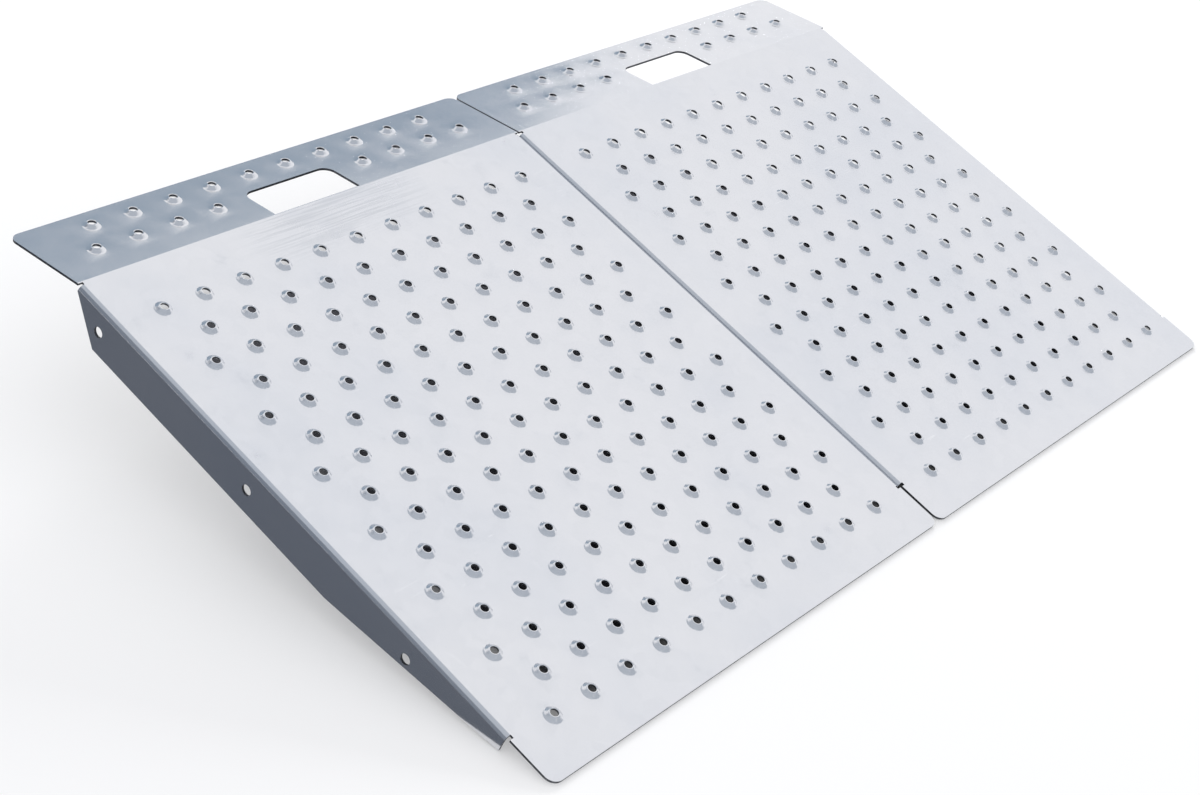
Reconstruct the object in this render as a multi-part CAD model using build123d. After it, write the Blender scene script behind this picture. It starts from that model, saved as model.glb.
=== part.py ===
from build123d import *
import math
import os

# Bolt-together loading ramp: two identical bent-sheet sections side by side, clamped
# together through their touching side flanges by three bolts.
#
# Part frame: +Z up, +X to the right seen from the low end, +Y from the low front edge to
# the raised rear lip.  The ramp is in its working pose: the lip is level and the deck runs
# down to the ground.  The origin is on the ground, in the middle of the bounding box.
#
# Section frame, used while one section is being shaped: the deck is flat, its top is z = 0,
# the line where the lip bends down is y = 0, the front edge is at y = -DECK_LENGTH and the
# section is centred on x = 0.

# ---------------------------------------------------------------- driving dimensions, mm
SECTION_WIDTH = 487.0
DECK_LENGTH = 508.0
LIP_LENGTH = 80.0
LIP_ANGLE = 15.4
SHEET = 2.0
BEND_INSIDE_RADIUS = 3.0

# Side flanges, seen from the side.
FLANGE_DEPTH = 38.0
FLANGE_REAR_SETBACK = 3.0
FLANGE_REAR_SLANT = 27.0
FLANGE_FRONT_SETBACK = 45.0
TAPER_LENGTH = 167.0

# Outline of the lip and of the tongue ahead of the flanges.
LIP_SIDE_INSET = 1.0
TONGUE_SIDE_INSET = 1.5
CORNER_RADIUS = 9.0
RELIEF_WIDTH = 3.0

# Hand-hole in the lip.
HAND_HOLE_WIDTH = 94.0
HAND_HOLE_REACH = 40.0
HAND_HOLE_START = 1.0
HAND_HOLE_CORNER_RADIUS = 10.0

# Raised, pierced grip dimples, in staggered rows.
DIMPLE_PITCH = 40.0
ROW_PITCH = 30.0
DECK_ROWS = 15
LIP_ROWS = 2
COLUMNS = 11
FIRST_DECK_ROW = 47.5
FIRST_LIP_ROW = 31.0
DIMPLE_BASE_RADIUS = 8.0
DIMPLE_TOP_RADIUS = 4.3
DIMPLE_HEIGHT = 3.0
DIMPLE_HOLE_RADIUS = 3.3
DIMPLE_WALL = 1.2

# Joining bolts, washers and nuts (M8).
BOLT_RADIUS = 4.0
BOLT_CLEARANCE = 0.5
THREAD_CLEARANCE = 0.05
WASHER_CLEARANCE = 0.2
FIRST_BOLT = 33.0
BOLT_SPACING = 169.5
BOLT_DROP = 20.0
HEX_ACROSS_FLATS = 13.0
HEAD_HEIGHT = 5.3
NUT_HEIGHT = 6.8
WASHER_RADIUS = 8.0
WASHER_THICKNESS = 1.6
THREAD_PAST_NUT = 2.5
EDGE_BREAK = 0.6

# ---------------------------------------------------------------- worked out from the above
SLOPE = math.radians(LIP_ANGLE)
BEND_OUTSIDE_RADIUS = BEND_INSIDE_RADIUS + SHEET
HALF_WIDTH = SECTION_WIDTH / 2
FLANGE_FRONT = DECK_LENGTH - FLANGE_FRONT_SETBACK
# The front corner of each flange reaches the ground together with the front edge.
FLANGE_FRONT_DEPTH = SHEET + FLANGE_FRONT_SETBACK * math.tan(SLOPE)
CUT_MARGIN = 5.0

RISE = DECK_LENGTH * math.sin(SLOPE) + SHEET * math.cos(SLOPE)
FRONT_TO_BEND = DECK_LENGTH * math.cos(SLOPE)
BEND_LINE_Y = (FRONT_TO_BEND - LIP_LENGTH) / 2
GRIP = 2 * SHEET
HOLE_RADIUS = BOLT_RADIUS + BOLT_CLEARANCE

BOLT_STATIONS = {
    "rear": FIRST_BOLT,
    "middle": FIRST_BOLT + BOLT_SPACING,
    "front": FIRST_BOLT + 2 * BOLT_SPACING,
}


def in_working_pose(shape, section_x=0.0):
    """Tip a shape from the section frame to the slope and lift it to its place."""
    placed = shape.rotate(Axis.X, LIP_ANGLE)
    return placed.translate((section_x, BEND_LINE_Y, RISE))


def block(x_low, x_high, y_low, y_high, z_low, z_high):
    """A box between two corners."""
    size = Box(x_high - x_low, y_high - y_low, z_high - z_low)
    return Pos((x_low + x_high) / 2, (y_low + y_high) / 2, (z_low + z_high) / 2) * size


def across(face_yz, width):
    """Extrude a face drawn in the YZ plane evenly to both sides of x = 0."""
    return extrude(face_yz, amount=width / 2, both=True)


def side_face(points):
    """A face in the YZ plane through (y, z) points."""
    corners = [Vector(0, y, z) for y, z in points]
    return Face(Wire(Polyline(*corners, close=True).edges()))


def bent_plate():
    """Deck and lip as one strip with its transverse bend, as wide as the lip."""
    cos, sin = math.cos(SLOPE), math.sin(SLOPE)
    inner_bend_y = -SHEET * math.tan(SLOPE / 2)
    strip = across(
        side_face([
            (-DECK_LENGTH, 0),
            (0, 0),
            (LIP_LENGTH * cos, -LIP_LENGTH * sin),
            (LIP_LENGTH * cos - SHEET * sin, -LIP_LENGTH * sin - SHEET * cos),
            (inner_bend_y, -SHEET),
            (-DECK_LENGTH, -SHEET),
        ]),
        2 * (HALF_WIDTH - LIP_SIDE_INSET),
    )
    along_x = strip.edges().filter_by(Axis.X)
    outer = min(along_x, key=lambda e: math.hypot(e.center().Y, e.center().Z))
    strip = fillet(outer, BEND_OUTSIDE_RADIUS)
    along_x = strip.edges().filter_by(Axis.X)
    inner = min(
        along_x,
        key=lambda e: math.hypot(e.center().Y - inner_bend_y, e.center().Z + SHEET),
    )
    return fillet(inner, BEND_INSIDE_RADIUS)


def rounded_corner_cut(corner_x, corner_y, inward_x, inward_y):
    """What is cut away to round one corner of a plate that lies flat at z = 0."""
    centre_x = corner_x + inward_x * CORNER_RADIUS
    centre_y = corner_y + inward_y * CORNER_RADIUS
    square = block(
        min(corner_x - inward_x * CUT_MARGIN, centre_x),
        max(corner_x - inward_x * CUT_MARGIN, centre_x),
        min(corner_y - inward_y * CUT_MARGIN, centre_y),
        max(corner_y - inward_y * CUT_MARGIN, centre_y),
        -SHEET - CUT_MARGIN,
        CUT_MARGIN,
    )
    disc = Pos(centre_x, centre_y, 0) * Cylinder(CORNER_RADIUS, 4 * CUT_MARGIN)
    return square - disc


def in_lip(shape):
    """Turn a shape that is drawn flat behind the bend line down into the lip's plane."""
    return shape.rotate(Axis.X, -LIP_ANGLE)


def outline_cuts():
    """Side strips, reliefs and rounded corners that give the flat blank its outline."""
    cuts = []
    shoulder = HALF_WIDTH - BEND_OUTSIDE_RADIUS
    for side in (-1, 1):
        strip_x = sorted((side * shoulder, side * (HALF_WIDTH + CUT_MARGIN)))
        cuts.append(block(
            *strip_x,
            -FLANGE_FRONT - RELIEF_WIDTH, 0,
            -SHEET - CUT_MARGIN, CUT_MARGIN,
        ))
        tongue_edge = HALF_WIDTH - TONGUE_SIDE_INSET
        trim_x = sorted((side * tongue_edge, side * (HALF_WIDTH + CUT_MARGIN)))
        cuts.append(block(
            *trim_x,
            -DECK_LENGTH - CUT_MARGIN, -FLANGE_FRONT,
            -SHEET - CUT_MARGIN, CUT_MARGIN,
        ))
        cuts.append(rounded_corner_cut(side * tongue_edge, -DECK_LENGTH, -side, 1))
        lip_edge = HALF_WIDTH - LIP_SIDE_INSET
        cuts.append(in_lip(rounded_corner_cut(side * lip_edge, LIP_LENGTH, -side, -1)))
    return cuts


def hand_hole_cut():
    """The hand-hole, with rounded rear corners and its front edge along the bend."""
    reach = HAND_HOLE_REACH - HAND_HOLE_START
    middle = (HAND_HOLE_REACH + HAND_HOLE_START) / 2
    cutter = Pos(0, middle, 0) * Box(HAND_HOLE_WIDTH, reach, 4 * CUT_MARGIN)
    rear_corners = cutter.edges().filter_by(Axis.Z).sort_by(Axis.Y)[-2:]
    return in_lip(fillet(rear_corners, HAND_HOLE_CORNER_RADIUS))


def flange_outline():
    """Side view of a flange: slanted rear end, level run, taper, square front end."""
    rear = -FLANGE_REAR_SETBACK
    return across(
        side_face([
            (rear, CUT_MARGIN),
            (rear, -BEND_OUTSIDE_RADIUS),
            (rear - FLANGE_REAR_SLANT, -FLANGE_DEPTH),
            (-FLANGE_FRONT + TAPER_LENGTH, -FLANGE_DEPTH),
            (-FLANGE_FRONT, -FLANGE_FRONT_DEPTH),
            (-FLANGE_FRONT, CUT_MARGIN),
        ]),
        2 * SECTION_WIDTH,
    )


def side_flange(side):
    """One folded side flange with its rounded bend and three bolt holes."""
    shoulder = HALF_WIDTH - BEND_OUTSIDE_RADIUS
    run = DECK_LENGTH
    centre = Pos(side * shoulder, -run / 2, -BEND_OUTSIDE_RADIUS) * Rot(90, 0, 0)
    tube = centre * (Cylinder(BEND_OUTSIDE_RADIUS, run) - Cylinder(BEND_INSIDE_RADIUS, run))
    quarter_x = sorted((side * shoulder, side * HALF_WIDTH))
    bend = tube & block(*quarter_x, -run, 0, -BEND_OUTSIDE_RADIUS, 0)
    leg_x = sorted((side * (HALF_WIDTH - SHEET), side * HALF_WIDTH))
    leg = block(*leg_x, -run, 0, -FLANGE_DEPTH, -BEND_OUTSIDE_RADIUS)
    flange = (bend + leg) & flange_outline()
    for station in BOLT_STATIONS.values():
        hole = Cylinder(HOLE_RADIUS, SECTION_WIDTH)
        flange -= Pos(side * HALF_WIDTH, -station, -BOLT_DROP) * Rot(0, 90, 0) * hole
    return flange


def row_positions(row):
    """Positions across one row; every second row is shifted half a pitch, one fewer."""
    count = COLUMNS - row % 2
    return [(i - (count - 1) / 2) * DIMPLE_PITCH for i in range(count)]


def deck_dimple_places():
    """Where the deck's dimples stand, in the section frame."""
    places = []
    for row in range(DECK_ROWS):
        y = -FIRST_DECK_ROW - row * ROW_PITCH
        places += [(x, y) for x in row_positions(row)]
    return places


def lip_dimple_places():
    """Where the lip's dimples stand, flat, leaving out those that meet the hand-hole."""
    keep_off = HAND_HOLE_WIDTH / 2 + DIMPLE_BASE_RADIUS
    reach = HAND_HOLE_REACH + DIMPLE_BASE_RADIUS
    places = []
    for row in range(LIP_ROWS):
        y = FIRST_LIP_ROW + row * ROW_PITCH
        places += [(x, y) for x in row_positions(row) if abs(x) > keep_off or y > reach]
    return places


def dimple_cone():
    """Outside of one dimple: a low frustum that starts inside the sheet."""
    half = SHEET / 2
    slope = (DIMPLE_BASE_RADIUS - DIMPLE_TOP_RADIUS) / DIMPLE_HEIGHT
    root_radius = DIMPLE_BASE_RADIUS + slope * half
    cone = Cone(root_radius, DIMPLE_TOP_RADIUS, DIMPLE_HEIGHT + half)
    return Pos(0, 0, (DIMPLE_HEIGHT - half) / 2) * cone


def dimple_void():
    """Inside of one dimple: the pierced hole, flaring to a cone under the sheet."""
    flare_top = DIMPLE_HEIGHT - DIMPLE_WALL
    flare_height = flare_top + SHEET
    mouth = DIMPLE_BASE_RADIUS - DIMPLE_WALL / 2
    flare = Cone(mouth, DIMPLE_HOLE_RADIUS, flare_height)
    flare = Pos(0, 0, (flare_top - SHEET) / 2) * flare
    return flare + Cylinder(DIMPLE_HOLE_RADIUS, 4 * CUT_MARGIN)


def at_dimples(shape):
    """Copies of a shape at every dimple of a section."""
    deck = [Pos(x, y, 0) * shape for x, y in deck_dimple_places()]
    lip = [in_lip(Pos(x, y, 0) * shape) for x, y in lip_dimple_places()]
    return deck + lip


def ramp_section():
    """One complete section in the section frame, as a single bent sheet."""
    sheet = bent_plate() - outline_cuts() - hand_hole_cut()
    sheet = sheet + [side_flange(-1), side_flange(1)]
    sheet = sheet + at_dimples(dimple_cone())
    return sheet - at_dimples(dimple_void())


def hexagon_prism(height):
    """A hexagonal prism with broken corners, its axis along Z, on z = 0."""
    corner_radius = HEX_ACROSS_FLATS / math.sqrt(3)
    prism = extrude(RegularPolygon(corner_radius, 6), amount=height)
    turned = Pos(0, 0, height / 2) * Cylinder(corner_radius, height)
    return prism & chamfer(turned.edges().filter_by(GeomType.CIRCLE), EDGE_BREAK)


def hex_bolt():
    """Bolt with its axis along Z, the seat of the head at z = 0 and the shank below."""
    length = GRIP + 2 * WASHER_THICKNESS + NUT_HEIGHT + THREAD_PAST_NUT
    shank = Pos(0, 0, -length / 2) * Cylinder(BOLT_RADIUS, length)
    tip = shank.edges().filter_by(GeomType.CIRCLE).sort_by(Axis.Z)[0]
    return hexagon_prism(HEAD_HEIGHT) + chamfer(tip, EDGE_BREAK)


def washer():
    """Flat washer on z = 0."""
    disc = Cylinder(WASHER_RADIUS, WASHER_THICKNESS)
    disc -= Cylinder(BOLT_RADIUS + WASHER_CLEARANCE, WASHER_THICKNESS)
    return Pos(0, 0, WASHER_THICKNESS / 2) * disc


def hex_nut():
    """Nut on z = 0, with a plain bore in place of its thread."""
    bore = Cylinder(BOLT_RADIUS + THREAD_CLEARANCE, 3 * NUT_HEIGHT)
    return hexagon_prism(NUT_HEIGHT) - bore


def on_seam(shape, height, station):
    """Stand a fastener part across the seam, its base so far left of the middle plane."""
    upright = Pos(0, -station, -BOLT_DROP) * Rot(0, -90, 0) * Pos(0, 0, height) * shape
    return in_working_pose(upright)


def build_parts():
    """Every sub-part under its node name."""
    section = ramp_section()
    parts = {
        "ramp_section_left": in_working_pose(section, -HALF_WIDTH),
        "ramp_section_right": in_working_pose(section, HALF_WIDTH),
    }
    outer = SHEET + WASHER_THICKNESS
    for place, station in BOLT_STATIONS.items():
        parts[f"joining_bolt_{place}"] = on_seam(hex_bolt(), outer, station)
        parts[f"head_washer_{place}"] = on_seam(washer(), SHEET, station)
        parts[f"nut_washer_{place}"] = on_seam(washer(), -outer, station)
        parts[f"hex_nut_{place}"] = on_seam(hex_nut(), -outer - NUT_HEIGHT, station)
    return parts


os.makedirs("parts", exist_ok=True)
for name, part in build_parts().items():
    export_step(part, f"parts/{name}.step")
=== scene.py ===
"""Looks of a low loading ramp made of two bent, pierced steel sheets bolted side by side.

The ramp stands in its working pose: the lip is level, the deck runs down to the floor.
One section is modelled flat, as the shop would cut, punch and fold it, and is then tipped
to the slope and copied to both sides of the seam.
"""

import logging
import math
from collections.abc import Callable, Sequence
from dataclasses import dataclass, field
from enum import Enum
from typing import Any

import bmesh
import bpy
from mathutils import Euler, Matrix, Vector


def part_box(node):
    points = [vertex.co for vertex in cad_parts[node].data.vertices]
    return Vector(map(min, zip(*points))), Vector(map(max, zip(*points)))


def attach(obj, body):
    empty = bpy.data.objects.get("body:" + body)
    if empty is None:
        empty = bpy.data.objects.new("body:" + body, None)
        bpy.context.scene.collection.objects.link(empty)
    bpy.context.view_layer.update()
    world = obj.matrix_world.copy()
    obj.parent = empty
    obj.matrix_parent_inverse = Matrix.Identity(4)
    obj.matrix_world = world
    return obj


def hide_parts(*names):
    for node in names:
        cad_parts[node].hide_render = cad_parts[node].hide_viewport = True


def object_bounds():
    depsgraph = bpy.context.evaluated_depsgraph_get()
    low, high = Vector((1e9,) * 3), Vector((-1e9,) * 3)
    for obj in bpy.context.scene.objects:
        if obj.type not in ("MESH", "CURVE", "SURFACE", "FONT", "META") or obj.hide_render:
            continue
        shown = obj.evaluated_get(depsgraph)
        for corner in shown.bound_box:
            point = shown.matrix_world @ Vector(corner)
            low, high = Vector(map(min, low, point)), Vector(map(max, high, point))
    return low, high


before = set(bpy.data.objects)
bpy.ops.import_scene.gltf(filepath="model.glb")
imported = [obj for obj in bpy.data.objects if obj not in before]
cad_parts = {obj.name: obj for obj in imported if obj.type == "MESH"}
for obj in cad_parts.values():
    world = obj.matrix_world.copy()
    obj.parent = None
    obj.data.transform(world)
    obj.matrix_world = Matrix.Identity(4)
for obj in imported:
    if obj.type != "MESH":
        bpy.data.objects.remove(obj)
CAD_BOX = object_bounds()

LOG = logging.getLogger("loading_ramp")
MM = 0.001


# --------------------------------------------------------------------------- small tools
class Kind(Enum):
    """What a selection is made of."""

    VERT = "VERT"
    EDGE = "EDGE"
    FACE = "FACE"


def deselect_all() -> None:
    """Leave edit mode and select nothing."""
    if bpy.context.object is not None and bpy.context.object.mode != "OBJECT":
        bpy.ops.object.mode_set(mode="OBJECT")
    bpy.ops.object.select_all(action="DESELECT")


def only(target: bpy.types.Object) -> None:
    """Select one object and make it active.

    Args:
        target: the object to work on.
    """
    deselect_all()
    target.select_set(True)
    bpy.context.view_layer.objects.active = target


class Editing:
    """Edit mode on one mesh, with elements selected by their place."""

    def __init__(self, target: bpy.types.Object) -> None:
        """Remember the object to edit."""
        self.target = target

    def __enter__(self) -> "Editing":
        """Open the object in edit mode with nothing selected."""
        only(self.target)
        bpy.ops.object.mode_set(mode="EDIT")
        bpy.ops.mesh.select_all(action="DESELECT")
        return self

    def __exit__(self, *_: object) -> None:
        """Go back to object mode."""
        bpy.ops.object.mode_set(mode="OBJECT")

    def pick(self, kind: Kind, test: Callable[[Vector], bool], border: bool = False) -> int:
        """Select only the elements whose middle passes a test.

        Args:
            kind: vertices, edges or faces.
            test: tells from an element's middle whether it is wanted.
            border: take only edges on the open border.

        Returns:
            How many elements are selected.
        """
        bpy.ops.mesh.select_mode(type=kind.value)
        bpy.ops.mesh.select_all(action="DESELECT")
        mesh = bmesh.from_edit_mesh(self.target.data)
        count = 0
        if kind is Kind.VERT:
            for vertex in mesh.verts:
                if test(vertex.co):
                    vertex.select_set(True)
                    count += 1
        elif kind is Kind.EDGE:
            for edge in mesh.edges:
                middle = (edge.verts[0].co + edge.verts[1].co) / 2
                if (edge.is_boundary or not border) and test(middle):
                    edge.select_set(True)
                    count += 1
        else:
            for face in mesh.faces:
                if test(face.calc_center_median()):
                    face.select_set(True)
                    count += 1
        mesh.select_flush_mode()
        bmesh.update_edit_mesh(self.target.data)
        return count

    def move_each(self, place: Callable[[Vector], Vector]) -> None:
        """Put every selected vertex at a place worked out from where it is.

        Args:
            place: gives a vertex's new place from its old one.
        """
        mesh = bmesh.from_edit_mesh(self.target.data)
        for vertex in mesh.verts:
            if vertex.select:
                vertex.co = place(vertex.co)
        bmesh.update_edit_mesh(self.target.data)

    def extrude(self, x: float = 0.0, y: float = 0.0, z: float = 0.0) -> None:
        """Extrude the selection along a straight move."""
        bpy.ops.mesh.extrude_region_move(TRANSFORM_OT_translate={"value": (x, y, z)})


def named(name: str) -> bpy.types.Object:
    """Name the active object and its mesh.

    Args:
        name: the piece's name.

    Returns:
        The object.
    """
    piece = bpy.context.object
    piece.name = name
    piece.data.name = name
    return piece


def joined(pieces: Sequence[bpy.types.Object], name: str) -> bpy.types.Object:
    """Join meshes into one object.

    Args:
        pieces: the meshes, at least one.
        name: the name of the result.

    Returns:
        The joined object.
    """
    only(pieces[0])
    for piece in pieces:
        piece.select_set(True)
    if len(pieces) > 1:
        bpy.ops.object.join()
    return named(name)


def copied(source: bpy.types.Object, place: Matrix) -> bpy.types.Object:
    """Copy an object with its own mesh and move the copy's mesh.

    Args:
        source: what to copy.
        place: the move applied to the copied mesh.

    Returns:
        The copy, with its object at the origin.
    """
    twin = source.copy()
    twin.data = source.data.copy()
    twin.data.transform(place)
    bpy.context.scene.collection.objects.link(twin)
    return twin


def settle(piece: bpy.types.Object) -> None:
    """Move an object's place, turn and scale into its mesh."""
    only(piece)
    bpy.ops.object.transform_apply(location=True, rotation=True, scale=True)


def weld(piece: bpy.types.Object, distance: float) -> None:
    """Merge doubled points and turn all faces outwards.

    Args:
        piece: the mesh to clean.
        distance: how near two points are merged, in metres.
    """
    with Editing(piece):
        bpy.ops.mesh.select_all(action="SELECT")
        bpy.ops.mesh.remove_doubles(threshold=distance)
        bpy.ops.mesh.normals_make_consistent(inside=False)


def face_up(sheet: bpy.types.Object) -> None:
    """Make sure that an open sheet's faces look up.

    Args:
        sheet: the sheet, lying flat.
    """
    if sum(face.normal.z for face in sheet.data.polygons) < 0:
        with Editing(sheet):
            bpy.ops.mesh.select_all(action="SELECT")
            bpy.ops.mesh.flip_normals()


def apply_modifier(piece: bpy.types.Object, kind: str, **settings: Any) -> None:
    """Add one modifier to a piece and apply it.

    Args:
        piece: the mesh.
        kind: the modifier's type.
        **settings: its properties.
    """
    only(piece)
    modifier = piece.modifiers.new(kind.lower(), kind)
    for key, value in settings.items():
        setattr(modifier, key, value)
    bpy.ops.object.modifier_apply(modifier=modifier.name)


def smooth(piece: bpy.types.Object, degrees: float = 32.0) -> None:
    """Shade smooth up to an angle, with flats kept flat beside their bends.

    Args:
        piece: the mesh.
        degrees: edges sharper than this stay crisp.
    """
    only(piece)
    bpy.ops.object.shade_smooth_by_angle(angle=math.radians(degrees))
    apply_modifier(piece, "WEIGHTED_NORMAL", keep_sharp=True, weight=80)


def block(low: Vector, high: Vector, name: str = "block") -> bpy.types.Object:
    """A box between two corners, as a start for a cutter or a piece.

    Args:
        low: its lowest corner.
        high: its highest corner.
        name: its name.

    Returns:
        The box, with its place in its mesh.
    """
    deselect_all()
    bpy.ops.mesh.primitive_cube_add(size=1.0, location=(low + high) / 2)
    piece = named(name)
    piece.scale = high - low
    settle(piece)
    return piece


def drum(radius: float, length: float, place: Matrix, sides: int = 32) -> bpy.types.Object:
    """A cylinder along Z, moved to its place.

    Args:
        radius: its radius.
        length: its length.
        place: the move applied to it.
        sides: how many sides it has.

    Returns:
        The cylinder, with its place in its mesh.
    """
    deselect_all()
    bpy.ops.mesh.primitive_cylinder_add(vertices=sides, radius=radius, depth=length)
    piece = named("drum")
    piece.data.transform(place)
    return piece


# --------------------------------------------------------------------------- shader maths
Colour = tuple[float, float, float, float]
Span = tuple[float, float]


class Signal:
    """A shader socket that takes part in Python arithmetic."""

    def __init__(self, graph: "Graph", socket: bpy.types.NodeSocket) -> None:
        """Wrap one output socket of a graph."""
        self.graph = graph
        self.socket = socket

    def _with(self, operation: str, first: Any, second: Any) -> "Signal":
        """One Math node on two values or signals."""
        node = self.graph.node("ShaderNodeMath", {"operation": operation}, {0: first, 1: second})
        return Signal(self.graph, node.outputs[0])

    def __add__(self, other: Any) -> "Signal":
        """self + other."""
        return self._with("ADD", self, other)

    def __radd__(self, other: Any) -> "Signal":
        """other + self."""
        return self._with("ADD", other, self)

    def __sub__(self, other: Any) -> "Signal":
        """self - other."""
        return self._with("SUBTRACT", self, other)

    def __rsub__(self, other: Any) -> "Signal":
        """other - self."""
        return self._with("SUBTRACT", other, self)

    def __mul__(self, other: Any) -> "Signal":
        """self * other."""
        return self._with("MULTIPLY", self, other)

    def __rmul__(self, other: Any) -> "Signal":
        """other * self."""
        return self._with("MULTIPLY", other, self)

    def ramp(self, low: float, high: float) -> "Signal":
        """Rise smoothly from 0 at low to 1 at high.

        Args:
            low: where the result leaves 0.
            high: where the result reaches 1.

        Returns:
            The ramped signal.
        """
        node = self.graph.node(
            "ShaderNodeMapRange",
            {"interpolation_type": "SMOOTHSTEP", "clamp": True},
            {"Value": self, "From Min": low, "From Max": high},
        )
        return Signal(self.graph, node.outputs["Result"])


    def window(self, rise: Span, fall: Span) -> "Signal":
        """Rise smoothly over one span and fall again over a later one.

        Args:
            rise: where the result leaves 0 and where it reaches 1.
            fall: where the result leaves 1 and where it is back at 0.

        Returns:
            The windowed signal.
        """
        return self.ramp(*rise) * (0.0 - self).ramp(-fall[1], -fall[0])


class Graph:
    """One material's node tree."""

    def __init__(self, material: bpy.types.Material) -> None:
        """Clear the tree and read the piece's own coordinates."""
        material.use_nodes = True
        self.tree = material.node_tree
        self.tree.nodes.clear()
        self.place = self.node("ShaderNodeTexCoord", {}, {}).outputs["Object"]

    def node(self, kind: str, settings: dict[str, Any], sockets: dict[Any, Any]) -> bpy.types.Node:
        """Add any node.

        Args:
            kind: the node's type.
            settings: its properties, set first.
            sockets: what each input takes: a value, a Signal or a socket.

        Returns:
            The node.
        """
        node = self.tree.nodes.new(kind)
        for key, value in settings.items():
            setattr(node, key, value)
        for key, value in sockets.items():
            if isinstance(value, Signal):
                value = value.socket
            if isinstance(value, bpy.types.NodeSocket):
                self.tree.links.new(value, node.inputs[key])
            else:
                node.inputs[key].default_value = value
        return node

    def plan(self) -> tuple[Signal, Signal]:
        """The piece's coordinates across and along."""
        apart = self.node("ShaderNodeSeparateXYZ", {}, {"Vector": self.place})
        return Signal(self, apart.outputs["X"]), Signal(self, apart.outputs["Y"])

    def stretched(self, scale: Sequence[float], turn: float = 0.0) -> bpy.types.NodeSocket:
        """The piece's coordinates, turned about Z and scaled per axis.

        Args:
            scale: factor along each axis.
            turn: turn about Z, in degrees.

        Returns:
            The vector socket.
        """
        node = self.node(
            "ShaderNodeMapping",
            {},
            {"Vector": self.place, "Rotation": (0, 0, math.radians(turn)), "Scale": tuple(scale)},
        )
        return node.outputs["Vector"]

    def noise(self, scale: float, detail: float = 2.0, rough: float = 0.5,
              vector: bpy.types.NodeSocket | None = None) -> Signal:
        """Noise in about 0..1.

        Args:
            scale: features per metre.
            detail: octaves.
            rough: how strong the finer octaves are.
            vector: coordinates, the piece's own by default.

        Returns:
            The noise.
        """
        node = self.node(
            "ShaderNodeTexNoise",
            {},
            {
                "Vector": vector or self.place,
                "Scale": scale,
                "Detail": detail,
                "Roughness": rough,
            },
        )
        return Signal(self, node.outputs["Fac"])

    def cells(self, scale: float) -> Signal:
        """One random tone for each cell of a crystal pattern."""
        node = self.node("ShaderNodeTexVoronoi", {}, {"Vector": self.place, "Scale": scale})
        split = self.node("ShaderNodeSeparateColor", {}, {"Color": node.outputs["Color"]})
        return Signal(self, split.outputs["Red"])

    def mix(self, factor: Any, first: Any, second: Any) -> bpy.types.NodeSocket:
        """Mix two colours.

        Args:
            factor: 0 gives the first, 1 the second.
            first: a colour or a colour socket.
            second: a colour or a colour socket.

        Returns:
            The mixed colour.
        """
        node = self.node(
            "ShaderNodeMix",
            {"data_type": "RGBA", "blend_type": "MIX"},
            {0: factor, 6: first, 7: second},
        )
        return node.outputs[2]

    def bump(self, height: Signal, distance: float,
             over: bpy.types.NodeSocket | None = None) -> bpy.types.NodeSocket:
        """A bumped normal.

        Args:
            height: the height, 0 to 1.
            distance: how high 1 stands, in metres.
            over: a bumped normal that this one is laid over.

        Returns:
            The normal socket.
        """
        sockets: dict[Any, Any] = {"Strength": 1.0, "Distance": distance, "Height": height}
        if over is not None:
            sockets["Normal"] = over
        return self.node("ShaderNodeBump", {}, sockets).outputs["Normal"]

    def surface(self, **sockets: Any) -> None:
        """Finish the tree with one Principled surface.

        Args:
            **sockets: its inputs, with underscores for spaces.
        """
        inputs = {key.replace("_", " "): value for key, value in sockets.items()}
        shader = self.node("ShaderNodeBsdfPrincipled", {}, inputs)
        self.node("ShaderNodeOutputMaterial", {}, {"Surface": shader.outputs["BSDF"]})


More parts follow.
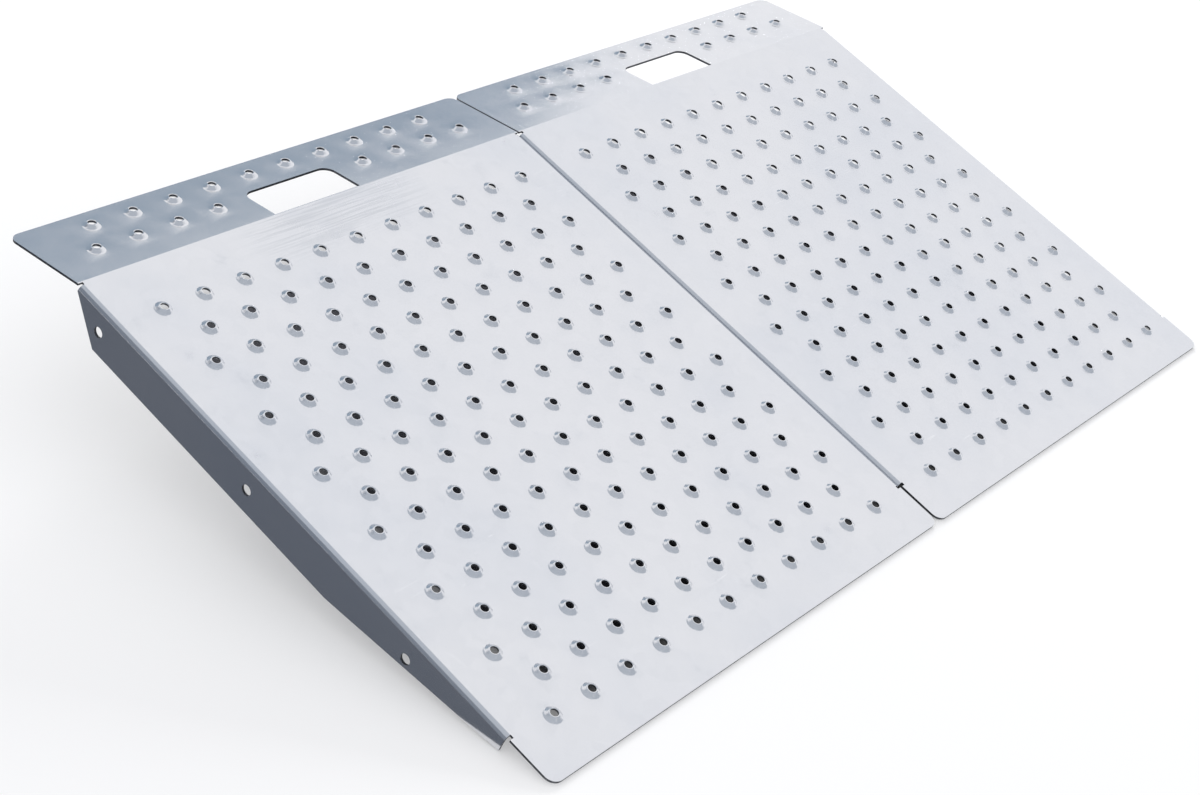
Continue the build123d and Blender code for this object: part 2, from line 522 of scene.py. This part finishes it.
@dataclass(frozen=True)
class GalvanisedSheet:
    """Smooth pale coated sheet: satin gloss, slight waves, cloudy tone, fine grain, scuffs."""

    pale: Colour = (0.79, 0.795, 0.815, 1.0)
    cool: Colour = (0.67, 0.70, 0.755, 1.0)
    grey: Colour = (0.56, 0.58, 0.61, 1.0)
    scuff: Colour = (0.90, 0.91, 0.92, 1.0)
    metallic: float = 0.88
    roughness: float = 0.18
    wave_height: float = 0.00050
    grain_height: float = 0.000018
    rubbed_across: tuple[Span, Span] = ((-0.36, -0.28), (-0.20, -0.12))
    rubbed_along: tuple[Span, Span] = ((0.145, 0.185), (0.200, 0.215))

    def make(self) -> bpy.types.Material:
        """Build the material.

        Returns:
            The material.
        """
        material = bpy.data.materials.new("galvanised_sheet")
        graph = Graph(material)
        cloud = graph.noise(5.5, 3.0, 0.55).ramp(0.38, 0.68)
        drift = graph.noise(17.0, 4.0, 0.6).ramp(0.42, 0.74)
        spangle = graph.cells(95.0)
        grain = graph.noise(1500.0, 2.0, 0.6)
        stain = graph.noise(34.0, 5.0, 0.65).ramp(0.60, 0.78)
        lines = graph.noise(9.0, 2.0, 0.5, graph.stretched((4.0, 60.0, 4.0), 24.0))
        patches = graph.noise(11.0, 2.0, 0.5).ramp(0.60, 0.70)
        scratch = lines.ramp(0.665, 0.70) * patches
        tone = graph.mix(cloud * 0.30 + drift * 0.15, self.pale, self.cool)
        tone = graph.mix((spangle - 0.5) * 0.06 + 0.03 + stain * 0.14, tone, self.grey)
        tone = graph.mix(grain.ramp(0.60, 0.80) * 0.14, tone, self.grey)
        tone = graph.mix(scratch * 0.5, tone, self.scuff)
        rubbed = self._rubbed(graph)
        hairs = graph.noise(9.0, 3.0, 0.6, graph.stretched((1.5, 60.0, 1.5), 6.0))
        tone = graph.mix(hairs.ramp(0.44, 0.60) * rubbed * 0.45, tone, self.grey)
        rough = self.roughness + drift * 0.05 + stain * 0.06 + (spangle - 0.5) * 0.03
        rough = rough + rubbed * 0.08
        waves = graph.bump(graph.noise(14.0, 2.0, 0.4), self.wave_height)
        graph.surface(
            Base_Color=tone,
            Metallic=self.metallic,
            Roughness=rough,
            Normal=graph.bump(grain, self.grain_height, waves),
        )
        return material

    def _rubbed(self, graph: Graph) -> Signal:
        """Where hands and cargo rub the left deck, in front of its hand-hole.

        Args:
            graph: the sheet's node tree.

        Returns:
            1 in the middle of the rubbed patch, falling softly to 0 around it.
        """
        x, y = graph.plan()
        return x.window(*self.rubbed_across) * y.window(*self.rubbed_along)


@dataclass(frozen=True)
class CutEdge:
    """Sheared or punched edge of the sheet: bare steel, a little torn, and painted near-black as
    shade on the edge faces and in the holes.
    """

    # painted shade: this steel tone is far darker than bare steel, standing for the dark that
    # edges and hole walls show
    steel: Colour = (0.07, 0.075, 0.085, 1.0)
    bright: Colour = (0.20, 0.205, 0.22, 1.0)

    def make(self) -> bpy.types.Material:
        """Build the material.

        Returns:
            The material.
        """
        material = bpy.data.materials.new("cut_edge_and_painted_shade")
        graph = Graph(material)
        tear = graph.noise(420.0, 3.0, 0.6)
        graph.surface(
            Base_Color=graph.mix(tear.ramp(0.45, 0.75), self.steel, self.bright),
            Metallic=0.7,
            Roughness=0.42 + tear * 0.2,
            Normal=graph.bump(tear, 0.00005),
        )
        return material


@dataclass(frozen=True)
class ZincPlate:
    """Bright zinc plate on bolts, nuts and washers, with fine turning marks."""

    bright: Colour = (0.68, 0.69, 0.70, 1.0)
    dull: Colour = (0.50, 0.50, 0.49, 1.0)

    def make(self) -> bpy.types.Material:
        """Build the material.

        Returns:
            The material.
        """
        material = bpy.data.materials.new("zinc_plate")
        graph = Graph(material)
        haze = graph.noise(260.0, 3.0, 0.6)
        fine = graph.noise(2600.0, 2.0, 0.5)
        graph.surface(
            Base_Color=graph.mix(haze.ramp(0.4, 0.75), self.bright, self.dull),
            Metallic=0.92,
            Roughness=0.26 + haze * 0.14,
            Normal=graph.bump(fine, 0.000015),
        )
        return material


# --------------------------------------------------------------------------- the sheet
@dataclass
class GripDimple:
    """One raised, pierced dimple in the middle of its rectangle of flat sheet."""

    pitch: float = 40.0 * MM
    row_pitch: float = 30.0 * MM
    height: float = 3.0 * MM
    hole_radius: float = 3.3 * MM
    sides: int = 16
    skin: tuple[tuple[float, float], ...] = (
        (3.95, 1.0),
        (4.9, 0.84),
        (6.5, 0.30),
        (8.0, 0.0),
    )

    def border_point(self, index: int) -> Vector:
        """A point on the rectangle's border, counted from its +X +Y corner.

        Args:
            index: which point, a quarter of them on each side.

        Returns:
            The point.
        """
        quarter = self.sides // 4
        side, step = divmod(index % self.sides, quarter)
        share = 1.0 - 2.0 * step / quarter
        half_x, half_y = self.pitch / 2, self.row_pitch / 2
        corners = {
            0: (share * half_x, half_y),
            1: (-half_x, share * half_y),
            2: (-share * half_x, -half_y),
            3: (half_x, -share * half_y),
        }
        return Vector((*corners[side], 0.0))

    def build(self) -> bpy.types.Object:
        """Draw the hole's rim out into the dimple and its rectangle.

        Returns:
            The tile, in the plane z = 0 around the origin.
        """
        deselect_all()
        top = self.height * 0.95
        bpy.ops.mesh.primitive_circle_add(
            vertices=self.sides, radius=self.hole_radius, location=(0, 0, top)
        )
        tile = named("grip_dimple")
        settle(tile)
        radius, level = self.hole_radius, top
        with Editing(tile) as edit:
            bpy.ops.mesh.select_all(action="SELECT")
            for ring_radius, share in self.skin:
                edit.extrude(z=share * self.height - level)
                level = share * self.height
                grow = ring_radius * MM / radius
                radius = ring_radius * MM
                edit.move_each(lambda p, k=grow: Vector((p.x * k, p.y * k, p.z)))
            edit.extrude()
            edit.move_each(self._out_to_border)
        weld(tile, 0.01 * MM)
        face_up(tile)
        return tile

    def _out_to_border(self, point: Vector) -> Vector:
        """Send a point of the foot ring to its place on the rectangle."""
        angle = math.atan2(point.y, point.x) - math.pi / 4
        index = round(angle / (2 * math.pi) * self.sides)
        return self.border_point(index)


@dataclass
class SheetPressing:
    """One ramp section, shaped flat: top of the deck z = 0, bend line y = 0, middle x = 0."""

    width: float
    deck_length: float
    lip_length: float
    slope: float
    thickness: float = 2.0 * MM
    inside_radius: float = 3.0 * MM
    flange_depth: float = 38.0 * MM
    flange_rear: float = 3.0 * MM
    rear_slant: float = 27.0 * MM
    front_setback: float = 45.0 * MM
    taper_length: float = 167.0 * MM
    lip_inset: float = 1.0 * MM
    tongue_inset: float = 1.5 * MM
    corner_radius: float = 9.0 * MM
    relief: float = 3.0 * MM
    hand_hole: tuple[float, float, float, float] = (94.0 * MM, 1.0 * MM, 40.0 * MM, 10.0 * MM)
    columns: int = 11
    deck_rows: int = 15
    lip_rows: int = 2
    first_deck_row: float = 47.5 * MM
    first_lip_row: float = 31.0 * MM
    bolt_stations: tuple[float, ...] = (33.0 * MM, 202.5 * MM, 372.0 * MM)
    bolt_drop: float = 20.0 * MM
    bolt_hole_radius: float = 4.5 * MM
    bend_steps: int = 7
    dimple: GripDimple = field(default_factory=GripDimple)

    @property
    def outside_radius(self) -> float:
        """Radius of the folds, outside."""
        return self.inside_radius + self.thickness

    @property
    def shoulder(self) -> float:
        """Where the flat deck ends and the fold of a flange starts."""
        return self.width / 2 - self.outside_radius

    @property
    def flange_front(self) -> float:
        """Distance from the bend line to the front end of the flanges."""
        return self.deck_length - self.front_setback

    @property
    def bend_tangent(self) -> float:
        """Flat length that the lip's bend takes on each side of its line."""
        return self.outside_radius * math.tan(self.slope / 2)

    def row_places(self, row: int) -> list[float]:
        """Where the dimples of a row stand across; every second row has one fewer."""
        count = self.columns - row % 2
        return [(i - (count - 1) / 2) * self.dimple.pitch for i in range(count)]

    def in_hand_hole(self, x: float, y: float) -> bool:
        """Whether a lip dimple would meet the hand-hole."""
        wide, _, reach, _ = self.hand_hole
        foot = self.dimple.skin[-1][0] * MM
        return abs(x) < wide / 2 + foot and y < reach + foot

    def field_of(self, name: str, rows: int, middle: Callable[[int], float],
                 skipped: Callable[[float, float], bool]) -> bpy.types.Object:
        """A flat field of sheet with its rows of dimples, between the two flange folds.

        Args:
            name: the field's name.
            rows: how many rows it has.
            middle: gives a row's distance along the sheet.
            skipped: tells which places stay flat.

        Returns:
            The field as one open surface.
        """
        cell_x = self.dimple.pitch / 4
        cell_y = self.dimple.row_pitch / 4
        half_columns = math.ceil(self.shoulder / cell_x)
        low = min(middle(0), middle(rows - 1)) - self.dimple.row_pitch / 2
        deselect_all()
        bpy.ops.mesh.primitive_grid_add(
            x_subdivisions=2 * half_columns, y_subdivisions=4 * rows, size=1.0
        )
        sheet = named(name)
        sheet.scale = (2 * half_columns * cell_x, 4 * rows * cell_y, 1.0)
        sheet.location = (0, low + 2 * rows * cell_y, 0)
        settle(sheet)
        places = [
            (x, middle(row))
            for row in range(rows)
            for x in self.row_places(row)
            if not skipped(x, middle(row))
        ]
        taken = {
            (round((x + (i + 0.5) * cell_x) / MM, 2), round((y + (j + 0.5) * cell_y) / MM, 2))
            for x, y in places
            for i in range(-2, 2)
            for j in range(-2, 2)
        }
        with Editing(sheet) as edit:
            edit.pick(
                Kind.FACE, lambda p: (round(p.x / MM, 2), round(p.y / MM, 2)) in taken
            )
            bpy.ops.mesh.delete(type="FACE")
            outermost = (half_columns - 0.5) * cell_x
            edit.pick(Kind.VERT, lambda p: abs(p.x) > outermost)
            edit.move_each(lambda p: Vector((math.copysign(self.shoulder, p.x), p.y, p.z)))
        tile = self.dimple.build()
        tiles = [copied(tile, Matrix.Translation((x, y, 0))) for x, y in places]
        bpy.data.objects.remove(tile)
        return joined([sheet, *tiles], name)

    def deck_field(self) -> bpy.types.Object:
        """The deck's rows, from the lip down to the front."""
        return self.field_of(
            "deck_field",
            self.deck_rows,
            lambda row: -self.first_deck_row - row * self.dimple.row_pitch,
            lambda x, y: False,
        )

    def lip_field(self) -> bpy.types.Object:
        """The lip's rows, turned down into the lip's plane."""
        lip = self.field_of(
            "lip_field",
            self.lip_rows,
            lambda row: self.first_lip_row + row * self.dimple.row_pitch,
            self.in_hand_hole,
        )
        lip.data.transform(Matrix.Rotation(-self.slope, 4, "X"))
        return lip

    def open_sheet(self) -> bpy.types.Object:
        """Outer skin of deck, lip, folds and flanges, before it gets its thickness."""
        half_row = self.dimple.row_pitch / 2
        deck_rear = -self.first_deck_row + half_row
        deck_front = deck_rear - self.deck_rows * self.dimple.row_pitch
        lip_start = self.first_lip_row - half_row
        lip_end = lip_start + self.lip_rows * self.dimple.row_pitch
        along = Vector((0, math.cos(self.slope), -math.sin(self.slope)))
        near = 0.2 * MM
        sheet = self.deck_field()
        with Editing(sheet) as edit:
            edit.pick(Kind.EDGE, lambda p: p.y < deck_front + near, border=True)
            edit.extrude(y=-self.deck_length - deck_front)
            edit.pick(Kind.EDGE, lambda p: p.y > deck_rear - near, border=True)
            edit.extrude(y=-self.bend_tangent - deck_rear)
            bpy.ops.mesh.spin(
                steps=3,
                angle=self.slope,
                center=(0, -self.bend_tangent, -self.outside_radius),
                axis=(1, 0, 0),
            )
            edit.extrude(*(along * (lip_start - self.bend_tangent)))
        sheet = joined([sheet, self.lip_field()], "open_sheet")
        weld(sheet, 0.05 * MM)
        with Editing(sheet) as edit:
            edit.pick(Kind.EDGE, lambda p: p.dot(along) > lip_end - near, border=True)
            edit.extrude(*(along * (self.lip_length - lip_end)))
            self._split_borders(edit)
            self._widen(edit)
            for side in (-1, 1):
                self._fold_flange(edit, side)
            self._trim_flanges(edit)
        weld(sheet, 0.02 * MM)
        face_up(sheet)
        return sheet

    def _split_borders(self, edit: Editing) -> None:
        """Part the outermost strips where flanges end and reliefs are."""
        inner = self.shoulder - self.dimple.pitch / 4
        for station in (self.flange_rear, self.flange_front, self.flange_front + self.relief):
            edit.pick(Kind.FACE, lambda p: abs(p.x) > inner)
            bpy.ops.mesh.bisect(plane_co=(0, -station, 0), plane_no=(0, 1, 0))

    def _widen(self, edit: Editing) -> None:
        """Bring the lip and the tongue out to their own widths."""
        near = 0.2 * MM
        notch = self.flange_front + self.relief
        for side in (-1, 1):
            def on_side(p: Vector, s: int = side) -> bool:
                """Whether a point is out at this side's fold."""
                return s * p.x > self.shoulder - near

            edit.pick(Kind.EDGE, lambda p: on_side(p) and p.y > -self.bend_tangent, border=True)
            edit.extrude(x=side * (self.width / 2 - self.lip_inset - self.shoulder))
            edit.pick(Kind.EDGE, lambda p: on_side(p) and p.y < -notch, border=True)
            edit.extrude(x=side * (self.width / 2 - self.tongue_inset - self.shoulder))

    def _fold_flange(self, edit: Editing, side: int) -> None:
        """Fold one side flange down around its bend."""
        near = 0.2 * MM
        edit.pick(
            Kind.EDGE,
            lambda p: abs(p.x - side * self.shoulder) < near
            and -self.flange_front < p.y < -self.flange_rear,
            border=True,
        )
        bpy.ops.mesh.spin(
            steps=self.bend_steps,
            angle=-side * math.pi / 2,
            center=(side * self.shoulder, 0, -self.outside_radius),
            axis=(0, 1, 0),
        )
        edit.extrude(z=self.outside_radius - self.flange_depth)

    def _trim_flanges(self, edit: Editing) -> None:
        """Cut the slanted rear end and the taper of both flanges."""
        wall = self.width / 2 - 0.5 * MM
        front_depth = self.thickness + self.front_setback * math.tan(self.slope)
        taper_drop = self.flange_depth - front_depth
        rear_drop = self.flange_depth - self.outside_radius
        edit.pick(Kind.FACE, lambda p: abs(p.x) > wall)
        bpy.ops.mesh.bisect(
            plane_co=(0, -self.flange_rear, -self.outside_radius),
            plane_no=(0, rear_drop, -self.rear_slant),
            clear_outer=True,
        )
        edit.pick(Kind.FACE, lambda p: abs(p.x) > wall)
        bpy.ops.mesh.bisect(
            plane_co=(0, -self.flange_front, -front_depth),
            plane_no=(0, -taper_drop, -self.taper_length),
            clear_outer=True,
        )

    def cutters(self) -> bpy.types.Object:
        """Everything that is punched out or rounded off after folding, as one tool."""
        tools = [self._hand_hole_tool()]
        deep = 10 * MM
        turned = Matrix.Rotation(math.pi / 2, 4, "Y")
        for station in self.bolt_stations:
            place = Matrix.Translation((0, -station, -self.bolt_drop)) @ turned
            tools.append(drum(self.bolt_hole_radius, self.width + deep, place))
        down = Matrix.Rotation(-self.slope, 4, "X")
        lip_edge = self.width / 2 - self.lip_inset
        tongue_edge = self.width / 2 - self.tongue_inset
        for side in (-1, 1):
            rear = self._corner_tool(side * lip_edge, self.lip_length, -side, -1)
            rear.data.transform(down)
            tools.append(rear)
            tools.append(self._corner_tool(side * tongue_edge, -self.deck_length, -side, 1))
        return joined(tools, "cutters")

    def _hand_hole_tool(self) -> bpy.types.Object:
        """Punch for the hand-hole: rounded at the rear, square along the bend."""
        wide, start, reach, radius = self.hand_hole
        deep = 10 * MM
        tool = block(Vector((-wide / 2, start, -deep)), Vector((wide / 2, reach, deep)))
        with Editing(tool) as edit:
            edit.pick(
                Kind.EDGE,
                lambda p: p.y > reach - 0.1 * MM and abs(p.x) > 0.1 * MM and abs(p.z) < MM,
            )
            bpy.ops.mesh.bevel(offset=radius, segments=8, affect="EDGES")
        tool.data.transform(Matrix.Rotation(-self.slope, 4, "X"))
        return tool

    def _corner_tool(self, x: float, y: float, inward_x: int, inward_y: int) -> bpy.types.Object:
        """What rounds one corner of the sheet.

        Args:
            x: the corner's place across.
            y: the corner's place along.
            inward_x: the way to the sheet's middle, across.
            inward_y: the way to the sheet's middle, along.

        Returns:
            A square with a quarter disc taken out of it.
        """
        deep = 10 * MM
        past = 4 * MM
        centre = Vector((x + inward_x * self.corner_radius, y + inward_y * self.corner_radius, 0))
        outer = Vector((x - inward_x * past, y - inward_y * past, 0))
        low = Vector((min(centre.x, outer.x), min(centre.y, outer.y), -deep))
        high = Vector((max(centre.x, outer.x), max(centre.y, outer.y), deep))
        tool = block(low, high)
        disc = drum(self.corner_radius, 4 * deep, Matrix.Translation(centre), sides=48)
        apply_modifier(tool, "BOOLEAN", object=disc, operation="DIFFERENCE", solver="EXACT")
        bpy.data.objects.remove(disc)
        return tool

    def build(self, sheet_finish: bpy.types.Material, edge_steel_and_shade: bpy.types.Material
              ) -> bpy.types.Object:
        """Make the whole section.

        Args:
            sheet_finish: the coated faces' material.
            edge_steel_and_shade: the cut edges' material.

        Returns:
            The section, flat in its own frame.
        """
        sheet = self.open_sheet()
        sheet.data.materials.append(sheet_finish)
        sheet.data.materials.append(edge_steel_and_shade)
        apply_modifier(
            sheet,
            "SOLIDIFY",
            thickness=self.thickness,
            offset=-1.0,
            use_even_offset=True,
            use_quality_normals=True,
            material_offset_rim=1,
        )
        tool = self.cutters()
        # the punched walls take the edge material with its painted shade
        tool.data.materials.append(edge_steel_and_shade)
        apply_modifier(
            sheet,
            "BOOLEAN",
            object=tool,
            operation="DIFFERENCE",
            solver="EXACT",
            material_mode="TRANSFER",
        )
        bpy.data.objects.remove(tool)
        LOG.info("sheet pressing: %d faces", len(sheet.data.polygons))
        return sheet


@dataclass
class RampSections:
    """The left and the right section, both from one pressing."""

    slope_degrees: float = 15.4
    lip_length: float = 80.0 * MM
    dimple_height: float = 3.0 * MM

    def build(self, sheet_finish: bpy.types.Material, edge_steel_and_shade: bpy.types.Material
              ) -> list[bpy.types.Object]:
        """Build one pressing and stand a copy on each side of the seam.

        Args:
            sheet_finish: the coated faces' material.
            edge_steel_and_shade: the cut edges' material.

        Returns:
            The two sections.
        """
        slope = math.radians(self.slope_degrees)
        low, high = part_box("ramp_section_left")
        bend_line = high.y - self.lip_length
        deck_length = (bend_line - low.y) / math.cos(slope)
        pressing = SheetPressing(high.x - low.x, deck_length, self.lip_length, slope)
        flat = pressing.build(sheet_finish, edge_steel_and_shade)
        rise = high.z - self.dimple_height
        tip = Matrix.Rotation(slope, 4, "X")
        sections = []
        for node in ("ramp_section_left", "ramp_section_right"):
            low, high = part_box(node)
            place = Matrix.Translation(((low.x + high.x) / 2, bend_line, rise)) @ tip
            section = copied(flat, place)
            section.name = "sheet_" + node
            smooth(section)
            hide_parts(node)
            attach(section, "root")
            LOG.info("%s: %d faces", section.name, len(section.data.polygons))
            sections.append(section)
        bpy.data.objects.remove(flat)
        return sections


# --------------------------------------------------------------------------- fasteners
def dress_fasteners(finish: bpy.types.Material) -> None:
    """Give the bolts, washers and nuts their plating.

    Args:
        finish: the plating.
    """
    for name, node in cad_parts.items():
        if not name.startswith("ramp_section"):
            node.data.materials.clear()
            node.data.materials.append(finish)
            LOG.info("%s: plated", name)


# --------------------------------------------------------------------------- studio
def aimed(at: Sequence[float], towards: Sequence[float]) -> Euler:
    """The turn that makes a lamp or card at one point face another point."""
    return (Vector(towards) - Vector(at)).to_track_quat("-Z", "Y").to_euler()


@dataclass(frozen=True)
class SoftBox:
    """One rectangular lamp."""

    name: str
    at: tuple[float, float, float]
    towards: tuple[float, float, float]
    size: tuple[float, float]
    power: float

    def build(self) -> None:
        """Hang the lamp and aim it."""
        lamp = bpy.data.lights.new(self.name, "AREA")
        lamp.shape = "RECTANGLE"
        lamp.size, lamp.size_y = self.size
        lamp.energy = self.power
        stand = bpy.data.objects.new(self.name, lamp)
        stand.location = self.at
        stand.rotation_euler = aimed(self.at, self.towards)
        stand.visible_glossy = False
        bpy.context.scene.collection.objects.link(stand)


@dataclass(frozen=True)
class Flag:
    """One dim card that only reflections see."""

    name: str
    at: tuple[float, float, float]
    towards: tuple[float, float, float]
    size: tuple[float, float]
    colour: Colour

    def build(self) -> None:
        """Stand the card and aim it."""
        deselect_all()
        bpy.ops.mesh.primitive_plane_add(size=1.0, location=self.at)
        card = named(self.name)
        card.rotation_euler = aimed(self.at, self.towards)
        card.scale = (*self.size, 1.0)
        settle(card)
        material = bpy.data.materials.new(self.name)
        graph = Graph(material)
        tone = graph.node("ShaderNodeEmission", {}, {"Color": self.colour, "Strength": 1.0})
        graph.node("ShaderNodeOutputMaterial", {}, {"Surface": tone.outputs["Emission"]})
        card.data.materials.append(material)
        card.visible_camera = False
        card.visible_diffuse = False
        card.visible_shadow = False


@dataclass
class Studio:
    """Pale floor with a painted shade below the decks, soft light and the camera."""

    eye: tuple[float, float, float] = (-1.3877, -0.8491, 0.9507)
    azimuth: float = 56.73
    fall: float = 31.5
    roll: float = -12.05
    lens: float = 64.79
    floor_size: float = 14.0
    floor_lift: float = 0.30
    paper: Colour = (0.88, 0.88, 0.88, 1.0)
    # painted shade below the decks: its dark floor colour, then how its patch is inset, narrowed
    # and softened
    painted_shade_tone: Colour = (0.09, 0.09, 0.10, 1.0)
    shade_inset: float = 0.02
    shade_narrowing: float = 0.17
    soft_edge: float = 0.06
    back_softness: float = 1.3
    sky: Colour = (0.965, 0.972, 1.0, 1.0)
    sky_strength: float = 0.99
    boxes: tuple[SoftBox, ...] = (
        SoftBox("key", (3.4, 2.5, 1.65), (0.0, 0.0, 0.0), (1.4, 1.4), 130.0),
    )
    flags: tuple[Flag, ...] = (
        Flag("flag_behind_lip", (0.2, 1.9, 0.8), (0.2, 0.0, 0.8), (4.3, 1.6),
             (0.25, 0.33, 0.42, 1.0)),
        Flag("flag_beside_left", (-1.09, -0.1, 0.0015), (-1.09, -0.1, 1.0), (1.2, 2.4),
             (0.04, 0.055, 0.085, 1.0)),
        Flag("flag_far_left", (-2.3, 1.1, 1.1), (0.0, 0.0, 0.1), (3.4, 2.6),
             (0.14, 0.17, 0.22, 1.0)),
        Flag("flag_overhead", (-0.6, -0.2, 2.6), (0.0, 0.0, 0.0), (3.4, 3.6),
             (0.48, 0.52, 0.58, 1.0)),
        Flag("flag_front_right", (1.2, -2.0, 1.3), (0.0, 0.0, 0.1), (3.0, 2.8),
             (0.46, 0.50, 0.56, 1.0)),
        Flag("flag_near_side", (-1.6, -2.2, 1.7), (0.0, 0.0, 0.1), (3.8, 2.8),
             (0.48, 0.52, 0.58, 1.0)),
    )

    def build(self) -> None:
        """Set up everything that isn't the ramp."""
        self._floor()
        self._world()
        for piece in (*self.boxes, *self.flags):
            piece.build()
        self._camera()
        bpy.context.scene.view_settings.view_transform = "Standard"

    def _floor(self) -> None:
        """Pale floor with a dark painted shade below the decks, lifted towards white where it is
        the background outside that shade.
        """
        deselect_all()
        bpy.ops.mesh.primitive_plane_add(size=self.floor_size, location=(0, 0, -0.0005))
        floor = named("studio_floor")
        material = bpy.data.materials.new("studio_floor")
        graph = Graph(material)
        # painted shade: the floor's colour goes dark below the decks, and the lift to white is
        # held back there
        shade = self._painted_shade_under_deck(graph)
        tone = graph.mix(shade, self.paper, self.painted_shade_tone)
        paper = graph.node(
            "ShaderNodeBsdfPrincipled", {},
            {"Base Color": tone, "Roughness": 0.9, "Specular IOR Level": 0.0},
        )
        white = graph.node("ShaderNodeEmission", {}, {"Strength": 1.0})
        path = graph.node("ShaderNodeLightPath", {}, {})
        seen = Signal(graph, path.outputs["Is Camera Ray"]) + path.outputs["Is Glossy Ray"]
        seen = seen + path.outputs["Is Transmission Ray"]
        blend = graph.node(
            "ShaderNodeMixShader", {},
            {
                "Fac": seen * self.floor_lift * (1.0 - shade),
                1: paper.outputs["BSDF"],
                2: white.outputs["Emission"],
            },
        )
        graph.node("ShaderNodeOutputMaterial", {}, {"Surface": blend.outputs["Shader"]})
        floor.data.materials.append(material)

    def _painted_shade_under_deck(self, graph: Graph) -> Signal:
        """Mask of the painted shade on the floor below the decks, which stands in for the shadow
        there.

        The stretch narrows towards the back, where the decks stand higher.

        Args:
            graph: the floor's node tree.

        Returns:
            1 well inside that stretch, falling softly to 0 at its borders.
        """
        x, y = graph.plan()
        low, high = CAD_BOX
        reach = high[0] - self.shade_inset - (y - low[1]) * self.shade_narrowing
        left = (reach + x).ramp(0.0, self.soft_edge)
        right = (reach - x).ramp(0.0, self.soft_edge)
        front = y.ramp(low[1], low[1] + self.soft_edge)
        back = (high[1] + self.soft_edge - y).ramp(0.0, self.back_softness * self.soft_edge)
        return left * right * front * back

    def _world(self) -> None:
        """Even pale surroundings."""
        world = bpy.data.worlds.new("studio_world")
        bpy.context.scene.world = world
        world.use_nodes = True
        background = world.node_tree.nodes["Background"]
        background.inputs["Color"].default_value = self.sky
        background.inputs["Strength"].default_value = self.sky_strength

    def _camera(self) -> None:
        """Stand the camera at the low left corner, looking up the ramp."""
        turn, fall = math.radians(self.azimuth), math.radians(self.fall)
        way = Vector((
            math.cos(fall) * math.sin(turn),
            math.cos(fall) * math.cos(turn),
            -math.sin(fall),
        ))
        camera = bpy.data.cameras.new("camera")
        camera.lens = self.lens
        camera.sensor_width = 36.0
        camera.sensor_fit = "HORIZONTAL"
        camera.clip_end = 60.0
        stand = bpy.data.objects.new("camera", camera)
        level = way.to_track_quat("-Z", "Y")
        stand.rotation_mode = "QUATERNION"
        stand.rotation_quaternion = level @ Euler((0, 0, math.radians(-self.roll))).to_quaternion()
        stand.location = self.eye
        bpy.context.scene.collection.objects.link(stand)
        bpy.context.scene.camera = stand


def main() -> None:
    """Build the ramp's looks and its studio."""
    logging.basicConfig(level=logging.INFO, format="%(name)s: %(message)s")
    sheet = GalvanisedSheet().make()
    edge = CutEdge().make()
    plate = ZincPlate().make()
    RampSections().build(sheet, edge)
    dress_fasteners(plate)
    Studio().build()


if __name__ == "__main__":
    main()
